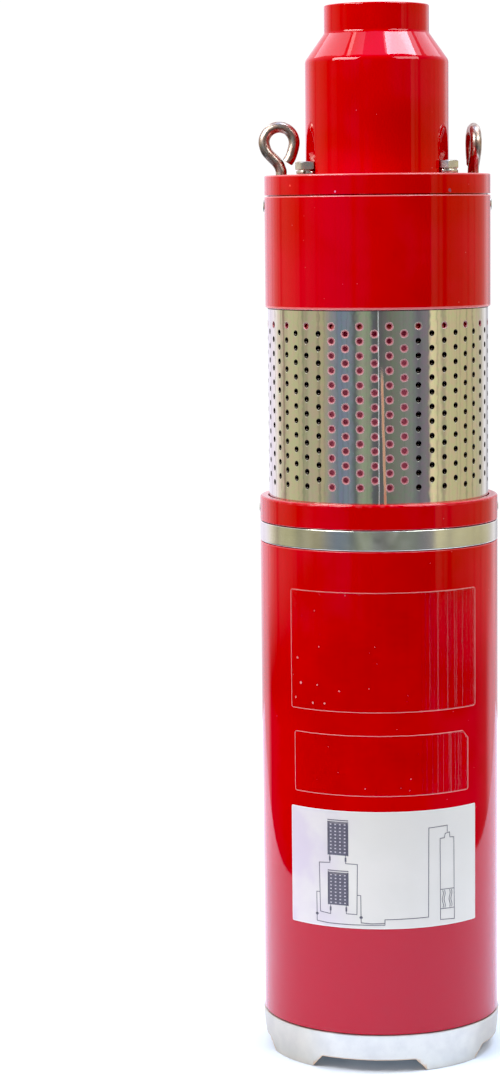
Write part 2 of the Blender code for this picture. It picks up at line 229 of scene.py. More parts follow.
def hexagon(azimuth, flats, softness=0.985):
    """Radius of a hexagon across the flats in each direction, with its corners just taken off."""
    sixth = np.pi / 3.0
    radius = 0.5 * flats / np.cos(azimuth % sixth - 0.5 * sixth)
    return np.minimum(radius, flats / np.sqrt(3.0) * softness)


# ---- finishes ----

class Wire:
    """A socket that arithmetic works on: every operator adds a Math node to the same bench."""

    def __init__(self, bench, socket):
        self.bench, self.socket = bench, socket

    def maths(self, operation, *terms):
        return self.bench.node("ShaderNodeMath", {"operation": operation}, terms)

    def __add__(self, term):
        return self.maths("ADD", self, term)

    def __sub__(self, term):
        return self.maths("SUBTRACT", self, term)

    def __rsub__(self, term):
        return self.maths("SUBTRACT", term, self)

    def __mul__(self, term):
        return self.maths("MULTIPLY", self, term)

    def __abs__(self):
        return self.maths("ABSOLUTE", self)

    __radd__, __rmul__ = __add__, __mul__


class Bench:
    """The node tree of one finish, or of the studio's light."""

    def __init__(self, owner):
        owner.use_nodes = True
        self.owner, self.tree = owner, owner.node_tree
        self.tree.nodes.clear()

    def node(self, kind, settings=None, sockets=(), out=0):
        """Adds a node: first its settings, where stops are a ramp's places and colours, then its sockets."""
        made = self.tree.nodes.new(kind)
        for key, value in (settings or {}).items():
            if key == "stops":
                while len(made.color_ramp.elements) < len(value):
                    made.color_ramp.elements.new(1.0)
                for stop, (place, colour) in zip(made.color_ramp.elements, value):
                    stop.position = place
                    stop.color = (*colour, 1.0)
            else:
                setattr(made, key, value)
        for key, value in sockets.items() if isinstance(sockets, dict) else enumerate(sockets):
            if isinstance(value, Wire):
                self.tree.links.new(value.socket, made.inputs[key])
            else:
                made.inputs[key].default_value = value
        return Wire(self, made.outputs[out])

    def spot(self, scale=(1.0, 1.0, 1.0)):
        """Place on the piece in millimetres, stretched by the scale."""
        place = self.node("ShaderNodeTexCoord", out="Object")
        return self.node("ShaderNodeMapping", {}, {"Vector": place, "Scale": [s / MM for s in scale]})

    def axes(self, vector):
        """The vector's x, y and z."""
        parts = self.node("ShaderNodeSeparateXYZ", {}, (vector,)).socket.node.outputs
        return [Wire(self, part) for part in parts]

    def arc(self, place):
        """Azimuth in degrees, from -180 to 180."""
        x, y, _ = self.axes(place)
        return x.maths("ARCTAN2", x, y * -1.0) * (180.0 / np.pi)

    def flanks(self, arc):
        """1 on both flanks, round azimuths of 80 degrees either way, and 0 in front and behind."""
        return 1.0 - self.rise(abs(abs(arc) - 80.0), 8.0, 20.0)

    def noise(self, vector, scale, detail=3.0):
        return self.node("ShaderNodeTexNoise", {}, {"Vector": vector, "Scale": scale, "Detail": detail})

    def grains(self, vector, scale):
        """Distance to the nearest of scattered points."""
        return self.node("ShaderNodeTexVoronoi", {}, {"Vector": vector, "Scale": scale})

    def gap(self, place, point):
        """Distance from a point."""
        return self.node("ShaderNodeVectorMath", {"operation": "DISTANCE"}, (place, point), out="Value")

    def rise(self, value, low, high):
        """0 below low, 1 above high and a soft step between them."""
        soft = {"interpolation_type": "SMOOTHSTEP"}
        return self.node("ShaderNodeMapRange", soft, {"Value": value, "From Min": low, "From Max": high})

    def blend(self, first, second, share):
        """Colour that goes from the first to the second as the share goes from 0 to 1."""
        pair = [c if isinstance(c, Wire) else (*c, 1.0) for c in (first, second)]
        return self.node("ShaderNodeMix", {"data_type": "RGBA"}, {0: share, 6: pair[0], 7: pair[1]}, out=2)

    def mark(self):
        return self.node("ShaderNodeAttribute", {"attribute_name": "mark"}, out="Fac")

    def relief(self, height, distance):
        """Surface direction of a height map whose full range is the distance in millimetres."""
        return self.node("ShaderNodeBump", {}, {"Height": height, "Distance": distance * MM})

    def finished(self, **sockets):
        """Ends a finish with the shader, whose sockets are given by their names with _ for a space."""
        named = {key.replace("_", " "): value for key, value in sockets.items()}
        self.end(self.node("ShaderNodeBsdfPrincipled", {}, named), "ShaderNodeOutputMaterial")
        return self.owner

    def end(self, shader, kind):
        self.tree.links.new(shader.socket, self.tree.nodes.new(kind).inputs[0])


def material(name):
    """Bench of a new finish."""
    return Bench(bpy.data.materials.new(name))


def red_enamel(name, chips=(), painted_shade_heights=None):
    """Glossy red enamel: faint cloudiness, fine orange peel, dust, worn paler edges with a smooth pale line
    where the mark passes 1.2, a painted highlight; painted shade where the mark is -1; small chips and, where
    two heights are given, painted shade that darkens it from the upper height to the lower."""
    b = material(name)
    place = b.spot()
    cloud = b.noise(place, 0.03)
    colour = b.blend((0.48, 0.0, 0.001), (0.54, 0.0, 0.009), b.rise(cloud, 0.35, 0.65))
    dust = 1.0 - b.rise(b.grains(place, 0.16), 0.02, 0.05)
    colour = b.blend(colour, (0.75, 0.20, 0.19), dust * 0.5)
    worn = b.rise(b.mark() + b.noise(place, 0.35) * 0.7, 1.05, 1.45)
    # the noisy worn term is wear; the smooth pale line where the mark passes 1.2 is a painted highlight along the
    # edges
    colour = b.blend(colour, (0.78, 0.22, 0.21), worn * 0.3 + b.rise(b.mark(), 1.2, 1.9) * 0.5)
    # painted shade: where the mark is -1, on the housing's spigot seen through the sleeve's top holes, the red is
    # darkened
    colour = b.blend(colour, (0.40, 0.09, 0.08), b.rise(b.mark() * -1.0, 0.6, 0.9))
    # painted shade: the red darkens from the upper of the two heights down to the lower
    if painted_shade_heights:
        colour = b.blend((0.42, 0.0, 0.014), colour, b.rise(b.axes(place)[2], *painted_shade_heights))
    for centre, size, tone in chips:
        bare = 1.0 - b.rise(b.gap(place, centre) + b.noise(place, 1.1) * size, size, size * 1.35)
        colour = b.blend(colour, tone, bare)
    smear = b.noise(b.spot((1.0, 1.0, 0.15)), 0.08)
    return b.finished(Base_Color=colour, Roughness=0.02 + smear * 0.05 + dust * 0.2, IOR=1.45,
                      Normal=b.relief(b.noise(place, 0.7, 2.0), 0.0025))


def tube_enamel():
    """The inner tube's duller red, a little cloudy."""
    b = material("inner_tube_enamel")
    place = b.spot()
    colour = b.blend((0.37, 0.090, 0.125), (0.45, 0.105, 0.155), b.noise(place, 0.08))
    return b.finished(Base_Color=colour, Roughness=0.55 + b.noise(place, 0.3) * 0.2, IOR=1.2,
                      Normal=b.relief(b.noise(place, 0.5), 0.02))


def sleeve_steel():
    """Polished stainless sheet: faint drawing lines, mottling, a slight waviness, painted shade on the flanks, a
    welded seam painted pale as the highlight along its edge, an orange line beside it, a painted reflection of the
    red of the inner tube or of the housing's spigot on the dimples, painted highlights on the lower lips elsewhere,
    and painted shade that turns the inner face and the hole walls nearly black, or dark red where red lies behind."""
    b = material("sleeve_steel")
    place = b.spot()
    x, y, z = b.axes(place)
    arc = b.arc(place)
    lines = b.noise(b.spot((1.0, 1.0, 0.02)), 0.9)
    mottle = b.rise(b.noise(place, 0.45, 4.0), 0.35, 0.65)
    colour = b.blend(b.blend((0.69, 0.71, 0.55), (0.75, 0.66, 0.58), mottle),
                     b.blend((0.77, 0.79, 0.63), (0.83, 0.74, 0.66), mottle), lines)
    # painted shade: the flanks are darker
    colour = b.blend(colour, (0.57, 0.545, 0.52), b.flanks(arc))
    wander = b.noise(b.spot((0.0, 0.0, 1.0)), 0.12)
    # an orange line beside the seam, slanting and fading out above 279 mm
    lean = arc + (z - 283.0) * 0.029 + wander * 0.8
    orange_line = (1.0 - b.rise(abs(lean - 2.3), 0.35, 1.0)) * (1.0 - b.rise(z, 279.0, 288.0))
    colour = b.blend(colour, (0.78, 0.34, 0.17), orange_line * 0.8)
    # painted reflection: dimple rims and lips where the tube shows from the front, and the top row before the spigot,
    # take a pale red
    tube = 1.0 - b.rise(abs(arc + TUBE_SEEN_MIDDLE), TUBE_SEEN_HALF - 0.5, TUBE_SEEN_HALF + 0.5)
    spigot = b.rise(z, 300.6, 300.9) * (1.0 - tube)
    painted_red_reflection = b.rise(b.mark(), 0.50, 0.60) * (tube + spigot * 0.45)
    colour = b.blend(colour, (0.53, 0.29, 0.295), painted_red_reflection)
    # painted highlight: the lower lips of the capped holes are paler and duller
    lip = b.rise(b.mark() * -1.0, 0.78, 0.95)
    colour = b.blend(colour, (0.70, 0.68, 0.58), lip * 0.8)
    # painted shade: the inner face and the hole walls below the surface are nearly black, and dark red, a painted
    # reflection, where the tube or spigot lies behind
    inside = 1.0 - b.rise(x.maths("SQRT", x * x + y * y), SLEEVE_R - 0.13, SLEEVE_R - 0.08)
    colour = b.blend(colour, b.blend((0.030, 0.026, 0.024), (0.38, 0.09, 0.11), tube + spigot * 0.8), inside)
    # a welded seam, painted pale as the highlight along its edge
    seam_and_highlight = (1.0 - b.rise(abs(arc + wander * 0.5 - 0.5), 0.10, 0.38)) * (1.0 - inside)
    colour = b.blend(colour, (0.80, 0.80, 0.77), seam_and_highlight)
    plain = b.node("ShaderNodeClamp", {}, (painted_red_reflection * 0.8 + orange_line * 0.6 + lip * 0.5 + seam_and_highlight * 0.5,))
    return b.finished(Base_Color=colour, Metallic=1.0 - plain,
                      Roughness=0.035 + lines * 0.05 + (seam_and_highlight * 0.5 + orange_line + inside + painted_red_reflection + lip) * 0.3,
                      Normal=b.relief(lines * 0.3 + seam_and_highlight + b.noise(place, 0.16, 2.0) * 8.0, 0.01))


def turned_steel():
    """End cover: lathe lines round the axis, faint stains, painted shade on the flanks, pale edges that are a painted
    highlight, a greasy haze in front.
    """
    b = material("turned_steel")
    lines = b.noise(b.spot((0.02, 0.02, 1.0)), 5.0)
    place = b.spot()
    arc = b.arc(place)
    colour = b.blend((0.76, 0.75, 0.60), (0.88, 0.87, 0.73), b.rise(b.noise(place, 0.06), 0.3, 0.7))
    # painted shade: the flanks are darker
    colour = b.blend(colour, (0.62, 0.60, 0.58), b.flanks(arc))
    haze = (1.0 - b.rise(abs(arc - 2.0), 4.0, 26.0)) * (0.07 + b.rise(b.noise(place, 0.22, 4.0), 0.35, 0.65) * 0.10)
    # painted highlight: the eased edges are paler
    colour = b.blend(colour, (0.88, 0.88, 0.84), b.mark() * 0.5)
    return b.finished(
        Base_Color=colour, Metallic=1.0 - haze, Roughness=0.12 + lines * 0.12, Normal=b.relief(lines, 0.006))


def cast_aluminium():
    """Machined casting: pale, satin and cloudy, with painted shade round the sides, pits, and a painted orange
    highlight along the notch edges.
    """
    b = material("cast_aluminium")
    place = b.spot()
    cloud = b.rise(b.noise(place, 0.12, 5.0), 0.3, 0.7)
    colour = b.blend((0.64, 0.63, 0.60), (0.755, 0.745, 0.70), cloud)
    # painted shade: the sides, away from azimuth 10 degrees, take darker and duller colours
    dull = b.blend((0.55, 0.52, 0.46), (0.65, 0.615, 0.54), cloud)
    colour = b.blend(colour, dull, b.rise(abs(b.arc(place) - 10.0), 30.0, 54.0))
    # painted highlight: an orange line where the mark lies along the notch edges
    colour = b.blend(colour, (0.60, 0.36, 0.18), b.mark() * 0.9)
    pits = 1.0 - b.rise(b.grains(place, 0.8), 0.06, 0.16)
    colour = b.blend(colour, (0.45, 0.44, 0.44), pits * 0.3)
    return b.finished(Base_Color=colour, Metallic=0.75, Roughness=0.42 + cloud * 0.14,
                      Normal=b.relief(b.noise(place, 0.9) - pits * 0.4, 0.03))


def bright_bar(name, light, dark, roughness, scratches=0.008):
    """Plated or drawn steel: tarnish in patches, and fine scratches."""
    b = material(name)
    place = b.spot()
    patch = b.rise(b.noise(place, 0.45, 4.0), 0.35, 0.65)
    return b.finished(Base_Color=b.blend(light, dark, patch), Metallic=1.0, Roughness=roughness + patch * 0.12,
                      Normal=b.relief(b.noise(b.spot((1.0, 1.0, 4.0)), 0.8), scratches))


def rubber():
    b = material("gland_rubber")
    bloom = b.noise(b.spot(), 0.4)
    colour = b.blend((0.010, 0.010, 0.010), (0.035, 0.034, 0.033), bloom)
    return b.finished(Base_Color=colour, Roughness=0.55 + bloom * 0.2, Normal=b.relief(bloom, 0.04))


def clear_film(name, seed):
    """Clear label film: pale cut edges, air bubbles, more at one corner, scuffs, faint level streaks, and
    pale upright streaks to the right that are a painted reflection of the room's streaks."""
    b = material(name)
    sheet = b.node("ShaderNodeUVMap", {"uv_map": "sheet"})
    s = b.axes(sheet)[0]
    offset = b.node("ShaderNodeVectorMath", {"operation": "ADD"}, (sheet, (seed, seed * 0.7, seed * 1.3)))
    streak = b.noise(b.node("ShaderNodeMapping", {}, {"Vector": offset, "Scale": (0.06, 1.1, 1.0)}), 1.0, 4.0)
    fine = b.noise(b.node("ShaderNodeMapping", {}, {"Vector": offset, "Scale": (1.1, 0.004, 1.0)}), 1.0, 2.0)
    rub = b.noise(offset, 0.13, 4.0)
    near = 1.0 - b.rise(b.gap(sheet, (-30.0, 152.0, 0.0)), 4.0, 26.0)
    bubble = 1.0 - b.rise(b.grains(offset, 0.22) + b.noise(offset, 0.6) * 0.3 - near * 0.05, 0.15, 0.27)
    # painted reflection: pale upright streaks, faint everywhere and stronger to the right
    upright = b.rise(fine, 0.42, 0.66) * (0.02 + b.rise(s, 15.0, 19.0) * 0.13)
    pale = b.mark() * 0.75 + bubble * (0.3 + near * 0.4) + b.rise(streak, 0.60, 0.74) * 0.05 + upright
    dull = b.rise(rub, 0.35, 0.65) * 0.01 + (1.0 - b.rise(streak, 0.32, 0.45)) * 0.025
    colour = b.blend((0.48, 0.02, 0.03), (0.90, 0.30, 0.27), b.rise(pale, 0.05, 0.25))
    return b.finished(Base_Color=colour, Roughness=0.16 + streak * 0.1, Alpha=pale + dull,
                      Normal=b.relief(bubble + streak * 0.3, 0.02))


def vinyl():
    """White sticker: nearly flat, cloudy, darker and bluish on the left as painted shade against the brighter light
    there, with pale edges.
    """
    b = material("sticker_vinyl")
    place = b.spot()
    cloud = b.noise(place, 0.05, 4.0)
    # painted shade: darker and bluish towards the left
    across = b.axes(place)[0] + (cloud - 0.5) * 30.0
    colour = b.blend((0.60, 0.52, 0.58), (0.67, 0.635, 0.575), b.rise(across, -34.0, -8.0))
    colour = b.blend(colour, (0.72, 0.675, 0.615), b.rise(cloud, 0.45, 0.7) * 0.5)
    colour = b.blend(colour, (0.86, 0.85, 0.80), b.mark() * 0.6)
    return b.finished(Base_Color=colour, Roughness=0.30 + cloud * 0.15, Normal=b.relief(b.noise(place, 0.25), 0.02))


def print_ink(name, light, dark):
    """Printed ink with the vinyl breaking through a little."""
    b = material(name)
    wear = b.noise(b.spot(), 1.4)
    return b.finished(Base_Color=b.blend(dark, light, wear), Roughness=0.4 + wear * 0.1)


# ---- camera, floor and light ----

def camera():
    """Level of the sleeve's middle, 1.16 m in front, tipped down and turned a little to its left."""
    pitch, yaw, roll = np.radians((6.520, 2.646, -0.580))
    right = np.array((np.cos(yaw), np.sin(yaw), 0.0))
    up = np.array((-np.sin(yaw) * np.sin(pitch), np.cos(yaw) * np.sin(pitch), np.cos(pitch)))
    across = np.cos(roll) * right + np.sin(roll) * up
    over = np.cos(roll) * up - np.sin(roll) * right
    lens = bpy.data.cameras.new("camera")
    lens.lens, lens.sensor_width = 94.07, 36.0
    axes = across, over, np.cross(across, over), (0.0, -1.1559, 0.3460)
    bpy.context.scene.camera = placed("camera", lens, axes)


def floor():
    """White light table: it glows a little of its own out to its edges; round the pump the glow falls away, a
    painted shadow beside the foot, down to a faint bluish glow under it, painted light in that shadow."""
    b = material("pale_floor")
    place = b.spot()
    away = b.gap(place, (10.0, -6.0, 0.0))
    tone = b.blend((0.76, 0.82, 0.90), (0.80, 0.85, 0.92), b.noise(place, 0.004))
    # painted shadow: the glow falls from full beyond 105 mm to a faint bluish glow, painted light, within 48 mm of
    # the pump
    glow = b.blend((0.10, 0.125, 0.16), (0.78, 0.92, 1.20), b.rise(away, 48.0, 105.0))
    b.finished(Base_Color=tone, Roughness=0.6, Emission_Color=glow, Emission_Strength=0.5)
    mesh = bpy.data.meshes.new("floor")
    corners = [(-0.34, -0.29, 0.0), (0.41, -0.29, 0.0), (0.41, 0.75, 0.0), (-0.42, 0.75, 0.0)]
    mesh.from_pydata(corners, [], [(0, 1, 2, 3)])
    mesh.materials.append(b.owner)
    placed("floor", mesh)


# room round the pump at eye level: azimuth in degrees and the light that comes from there
ROOM = (
    (-180, 0.95, 0.95, 1.05), (-150, 1.08, 1.01, 1.18), (-136, 1.18, 1.11, 1.20), (-128, 0.76, 0.70, 0.64),
    (-120, 0.66, 0.59, 0.50), (-116, 0.26, 0.20, 0.18), (-112, 0.58, 0.55, 0.41), (-92, 0.52, 0.50, 0.35),
    (-80, 0.36, 0.34, 0.27), (-77, 0.46, 0.44, 0.35), (-60, 0.44, 0.40, 0.29), (-50, 0.28, 0.29, 0.34),
    (-40, 0.19, 0.24, 0.37), (-30, 0.22, 0.27, 0.37), (-24, 0.13, 0.15, 0.18), (-18, 0.32, 0.36, 0.31),
    (-9, 0.26, 0.31, 0.26), (-5, 0.12, 0.13, 0.17), (3, 0.13, 0.13, 0.16), (14, 0.18, 0.20, 0.19),
    (34, 0.22, 0.25, 0.26), (42, 0.17, 0.17, 0.23), (54, 0.24, 0.22, 0.27), (57, 0.78, 0.71, 0.50),
    (68, 0.60, 0.56, 0.40), (71, 0.34, 0.31, 0.25), (76, 0.56, 0.52, 0.36), (112, 0.52, 0.47, 0.32),
    (132, 0.56, 0.52, 0.42), (150, 1.05, 1.04, 1.08), (160, 0.50, 0.50, 0.54), (180, 0.95, 0.95, 1.05),
)
# the same below the table's height, where the room is dark, and overhead
BELOW = ((-180, 0.80), (-141, 0.85), (-132, 0.08), (-60, 0.03), (30, 0.04), (56, 0.22), (126, 0.24), (136, 0.95),
         (158, 0.70), (180, 0.80))
ABOVE = ((-180, 0.90), (-150, 1.05), (-125, 0.60), (-70, 0.35), (-50, 0.20), (30, 0.10), (45, 0.15), (110, 0.40),
         (140, 0.90), (180, 0.90))


def room_light():
    """A white studio to the eye. What shines on the pump goes by azimuth, and by how far up or down it is."""
    world = bpy.data.worlds.new("studio")
    bpy.context.scene.world = world
    b = Bench(world)
    x, y, z = b.axes(b.node("ShaderNodeTexCoord", out="Generated"))
    turn = x.maths("ARCTAN2", x, y * -1.0) * (1.0 / FULL) + 0.5

    def ring(stops):
        places = [((a + 180.0) / 360.0, c if len(c) == 3 else (c[0], c[0], 1.12 * c[0])) for a, *c in stops]
        return b.node("ShaderNodeValToRGB", {"stops": places}, (turn,))

    streaks = b.noise(b.node("ShaderNodeCombineXYZ", {}, (turn,)), 70.0, 5.0)
    low = b.blend(ring(ROOM), (0.10, 0.12, 0.11), b.rise(streaks, 0.50, 0.66) * 0.42)
    light = b.blend(ring(BELOW), low, b.rise(z, -0.17, -0.12))
    light = b.blend(light, ring(ABOVE), b.rise(z, 0.05, 0.38))
    light = b.blend(light, (0.60, 0.66, 1.10), b.rise(z, 0.90, 0.95))
    seen = b.node("ShaderNodeLightPath", out="Is Camera Ray")
    glow = b.node("ShaderNodeBackground", {}, {"Color": light, "Strength": 1.17})
    white = b.node("ShaderNodeBackground", {}, {"Color": (1.0, 1.0, 1.0, 1.0), "Strength": 1.05})
    b.end(b.node("ShaderNodeMixShader", {}, (seen, glow, white)), "ShaderNodeOutputWorld")


def soft_box(name, first, last, distance, wide, glow, aim, tint=(1.0, 1.0, 1.0)):
    """Light panel whose long middle line is seen from the aim point between two directions, each an
    azimuth and an elevation in degrees: it faces their mean and runs along their difference. Its power
    is pi times its glow, the brightness that a mirror would show, times its area."""
    a, e = np.radians(np.stack((first, last), 1))
    ways = at(np.cos(e), a, np.sin(e))
    apart = ways[0] - ways[1]
    back, side = unit(ways.sum(0)), unit(apart)
    data = bpy.data.lights.new(name, "AREA")
    data.shape, data.size_y, data.color = "RECTANGLE", wide, tint
    data.size = distance * np.linalg.norm(apart) / (ways[0] @ back)
    data.energy = np.pi * glow * data.size * wide
    return placed(name, data, (side, np.cross(back, side), back, aim + back * distance))


def studio_lights():
    """A long key panel high on the right inside a fainter one, pale panels on the left and behind on the
    right, a strip and a fainter one, two near ones that light the walls, and three narrow ones between
    sleeve and inner tube."""
    head, shoulder, cool = (0.0, 0.0, 0.41), (0.0, 0.0, 0.35), (0.84, 1.0, 1.16)
    soft_box("key_panel", (37.0, 74.0), (102.0, 53.0), 1.3, 0.27, 11.5, head, cool)
    soft_box("key_panel_halo", (29.0, 77.0), (112.0, 48.0), 1.3, 0.34, 2.6, head, cool)
    soft_box("left_panel", (-90.0, 60.0), (-145.0, 29.0), 1.3, 0.35, 1.8, head, cool)
    soft_box("left_strip", (-79.0, 65.0), (-86.0, 62.0), 1.3, 0.25, 4.5, head)
    soft_box("left_strip_halo", (-50.0, 73.0), (-79.0, 65.0), 1.3, 0.25, 1.2, head, cool)
    soft_box("right_back_panel", (118.0, 45.0), (150.0, 27.0), 1.3, 0.30, 1.4, head, cool)
    soft_box("front_panel_left", (-78.0, 29.0), (-32.0, 29.0), 0.75, 0.34, 11.2, shoulder)
    soft_box("front_panel_right", (30.0, 29.0), (74.0, 29.0), 0.75, 0.34, 5.3, shoulder)
    for side, a, glow in (("left", -56.0, 0.80), ("middle", -3.0, 0.65), ("right", 50.0, 0.80)):
        made = soft_box("sleeve_light_" + side, (a, 47.0), (a, -47.0), 0.032, 0.012, glow, (MM * TUBE_X, 0.0, 0.263))
        made.data.spread = np.radians(120.0)


# ---- pieces ----

def solid_round(radius, low, high, cut, step=2.0, middle=(0.0, 0.0)):
    """Turned solid between two heights, with its edges cut."""
    return turned([(0, low, 0), (radius, low, cut), (radius, high, cut), (0, high, 0)], step, middle)


def motor_parts(paint, steel, aluminium):
    motor = solid_round(MOTOR_R, FOOT_TOP + SEAM, MOTOR_TOP, 0.4)
    cover = solid_round(MOTOR_R, MOTOR_TOP + SEAM, COVER_TOP, 0.3)
    piece("motor_shell", [motor], paint, "motor_body")
    piece("end_cover", [cover], steel, "motor_end_cover")
    piece("foot_casting", [foot_grid()], aluminium, "base_foot", crease=28.0)


def foot_grid():
    """Foot ring with four flared notches. The profile (r, z) is carried round; at a distance t across
    from a notch's middle every point is lifted to at least top (half - |t|) / flare, and no more than the
    notch's top, and keeps to its own wall, whose radius follows from the height. A column in a notch stays
    at one t, so it lies at azimuth arcsin(t / r); the columns between two notches share out the rest."""
    half, flare, top, turn = 23.5, 4.5, 5.3, -6.5
    rows = np.array([
        (0, 9.0), (40.0, 9.0), (41.6, 8.8), (41.9, 8.2), (42.05, 5.8), (42.1, top), (42.3, 0.3), (42.6, 0.0),
        (47.2, 0.0), (47.5, 0.3), (47.9, 3.0), (48.25, top), (48.3, 5.8), (48.85, 9.0), (49.3, 14.6), (49.4, 15.3),
        (49.3, 15.7), (49.0, FOOT_TOP), (0, FOOT_TOP)])
    r, z = rows[:, :1], rows[:, 1:]
    t = np.array((-23.5, -23.3, -22.4, -21.2, -20.0, -19.2, -19.0, -18.0, -14.0, -9.0, -4.0, 0.0))
    t = np.concatenate((t, -t[-2::-1]))
    u = np.linspace(0.0, 1.0, 9)[1:-1]
    reach = np.maximum(r, 41.6)
    rim = np.arcsin(half / reach)
    quarter = np.concatenate((np.arcsin(t / reach), rim + u * (0.5 * np.pi - 2.0 * rim)), 1)
    azimuth = np.concatenate([quarter + np.radians(turn + 90.0 * k) for k in range(4)], 1)
    lift = np.clip((half - abs(t)) * top / flare, 0.0, top)
    lift = np.tile(np.pad(lift, (0, len(u))), 4)
    height = np.maximum(z, lift)
    outer = r > 45.0
    wall = np.where(outer, np.interp(height, (0.0, 0.3, 9.0), (47.2, 47.5, 48.85)),
                    np.interp(height, (0.0, 0.3, top), (42.6, 42.3, 42.1)))
    radius = np.where((z < top) & (height > z), wall, r)
    # mark on the outer notch outline, fainter along the bottom edge: the finish paints an orange highlight there
    mark = np.exp(-((height - lift) / 0.25) ** 2) * outer * np.where(lift > 0.0, 1.0, 0.4)
    return grid(at(radius, azimuth, height), mark)


def screwed_shell(below, rows, above, height, radius, depth):
    """Turned shell with a round hole for a lock screw on each side. Its profile is an eased part, a straight
    wall of close rows and another eased part. Points of the wall nearer than the hole's radius to the line
    along X at its height move towards the axis by its depth."""
    wall = np.stack((np.full(len(rows), below[0][-1, 0]), rows), 1)
    profile = np.concatenate((below[0], wall, above[0]))
    marks = np.concatenate((below[1], np.zeros(len(rows)), above[1]))
    fine = [side + np.arange(-4.0, 4.01, 0.25) for side in (90.0, 270.0)]
    points = at(profile[:, :1], azimuths(2.0, fine)[None, :], profile[:, 1:])
    reach = np.hypot(points[..., 0], points[..., 1])
    sunk = (np.hypot(points[..., 1], points[..., 2] - height) < radius) & (reach > 40.0)
    points[..., :2] *= np.where(sunk, (reach - depth) / np.maximum(reach, 1.0), 1.0)[..., None]
    return grid(points, marks[:, None])


def collar_and_housing(paint, screw):
    low, seat = COVER_TOP + SEAM, 45.6
    rows = np.arange(COLLAR_SCREW_Z - 3.0, COLLAR_SCREW_Z + 3.01, 0.25)
    wall = eased([(0, low, 0), (MOTOR_R, low, 0.35), (MOTOR_R, COLLAR_SCREW_Z - 3.2, 0)])
    rim, marks = eased([
        (MOTOR_R, rows[-1] + 0.2, 0), (MOTOR_R, COLLAR_TOP, 1.1), (seat, COLLAR_TOP, 0.3), (seat, COLLAR_FLOOR, 0.3),
        (0, COLLAR_FLOOR, 0)], 6)
    shell = screwed_shell(wall, rows, (rim, marks * 0.8), COLLAR_SCREW_Z, 2.4, 1.2)
    piece("collar_shell", [shell], paint, "lower_collar")

    spigot, bore, bore_floor = 44.1, 13.2, 329.8
    rows = np.arange(HOUSING_SCREW_Z - 3.4, HOUSING_SCREW_Z + 2.81, 0.2)
    wall, marks = eased([
        (0, SPIGOT_BOTTOM, 0), (spigot, SPIGOT_BOTTOM, 0.4), (spigot, HOUSING_BOTTOM, 0),
        (HOUSING_R, HOUSING_BOTTOM, 0.8), (HOUSING_R, HOUSING_SCREW_Z - 3.6, 0)])
    # mark -1 on the spigot, where the enamel paints shade; marks doubled on the housing's lower edge carry the
    # enamel's painted highlight line
    marks = np.where(abs(wall[:, 0] - spigot) < 0.6, -1.0, marks * np.where(wall[:, 0] > 45.0, 2.0, 1.0))
    lip, lip_marks = eased([
        (HOUSING_R, rows[-1] + 0.05, 0), (HOUSING_R, HOUSING_TOP, 0.4), (bore, HOUSING_TOP, 0.3),
        (bore, bore_floor, 0.3), (0, bore_floor, 0)])
    # marks above 1.2 on the housing's top edge carry the enamel's painted highlight line
    lip_marks *= np.where(lip[:, 0] > 45.0, 1.8, 0.8)
    shell = screwed_shell((wall, marks), rows, (lip, lip_marks), HOUSING_SCREW_Z, 3.0, 1.6)
    piece("housing_shell", [shell], paint, "upper_housing")

    for where, *place in (("collar", 49.2, COLLAR_SCREW_Z, 2.1), ("housing", 46.55, HOUSING_SCREW_Z, 2.7)):
        for side, word in ((1, "right"), (-1, "left")):
            name = "%s_lock_screw_%s" % (where, word)
            piece(name + "_face", [screw_grid(side, *place)], screw, name, crease=30.0)


def stacked(rings, a):
    """Radii and heights of rings, which are given as pairs of numbers or of arrays over the azimuths a."""
    return [np.concatenate([value + 0.0 * a for value in column]) for column in zip(*rings)]


def screw_grid(side, reach, height, radius):
    """Socket screw that points along side * X: its rows are rings whose radius goes from round to a
    hexagon where the key fits, at distances along the screw from its buried end to the socket's floor."""
    a = around(48)
    key = hexagon(a, radius * 0.95, 1.0)
    across, along = stacked([
        (0.0, -0.9), (radius, -0.9), (radius, -0.3), (radius - 0.3, 0.0), (key + 0.12, 0.0), (key, -0.1),
        (key * 0.98, -1.3), (0.0, -1.5)], a)
    return grid(np.stack((side * (reach + along), across * np.cos(a), height + across * np.sin(a)), -1))


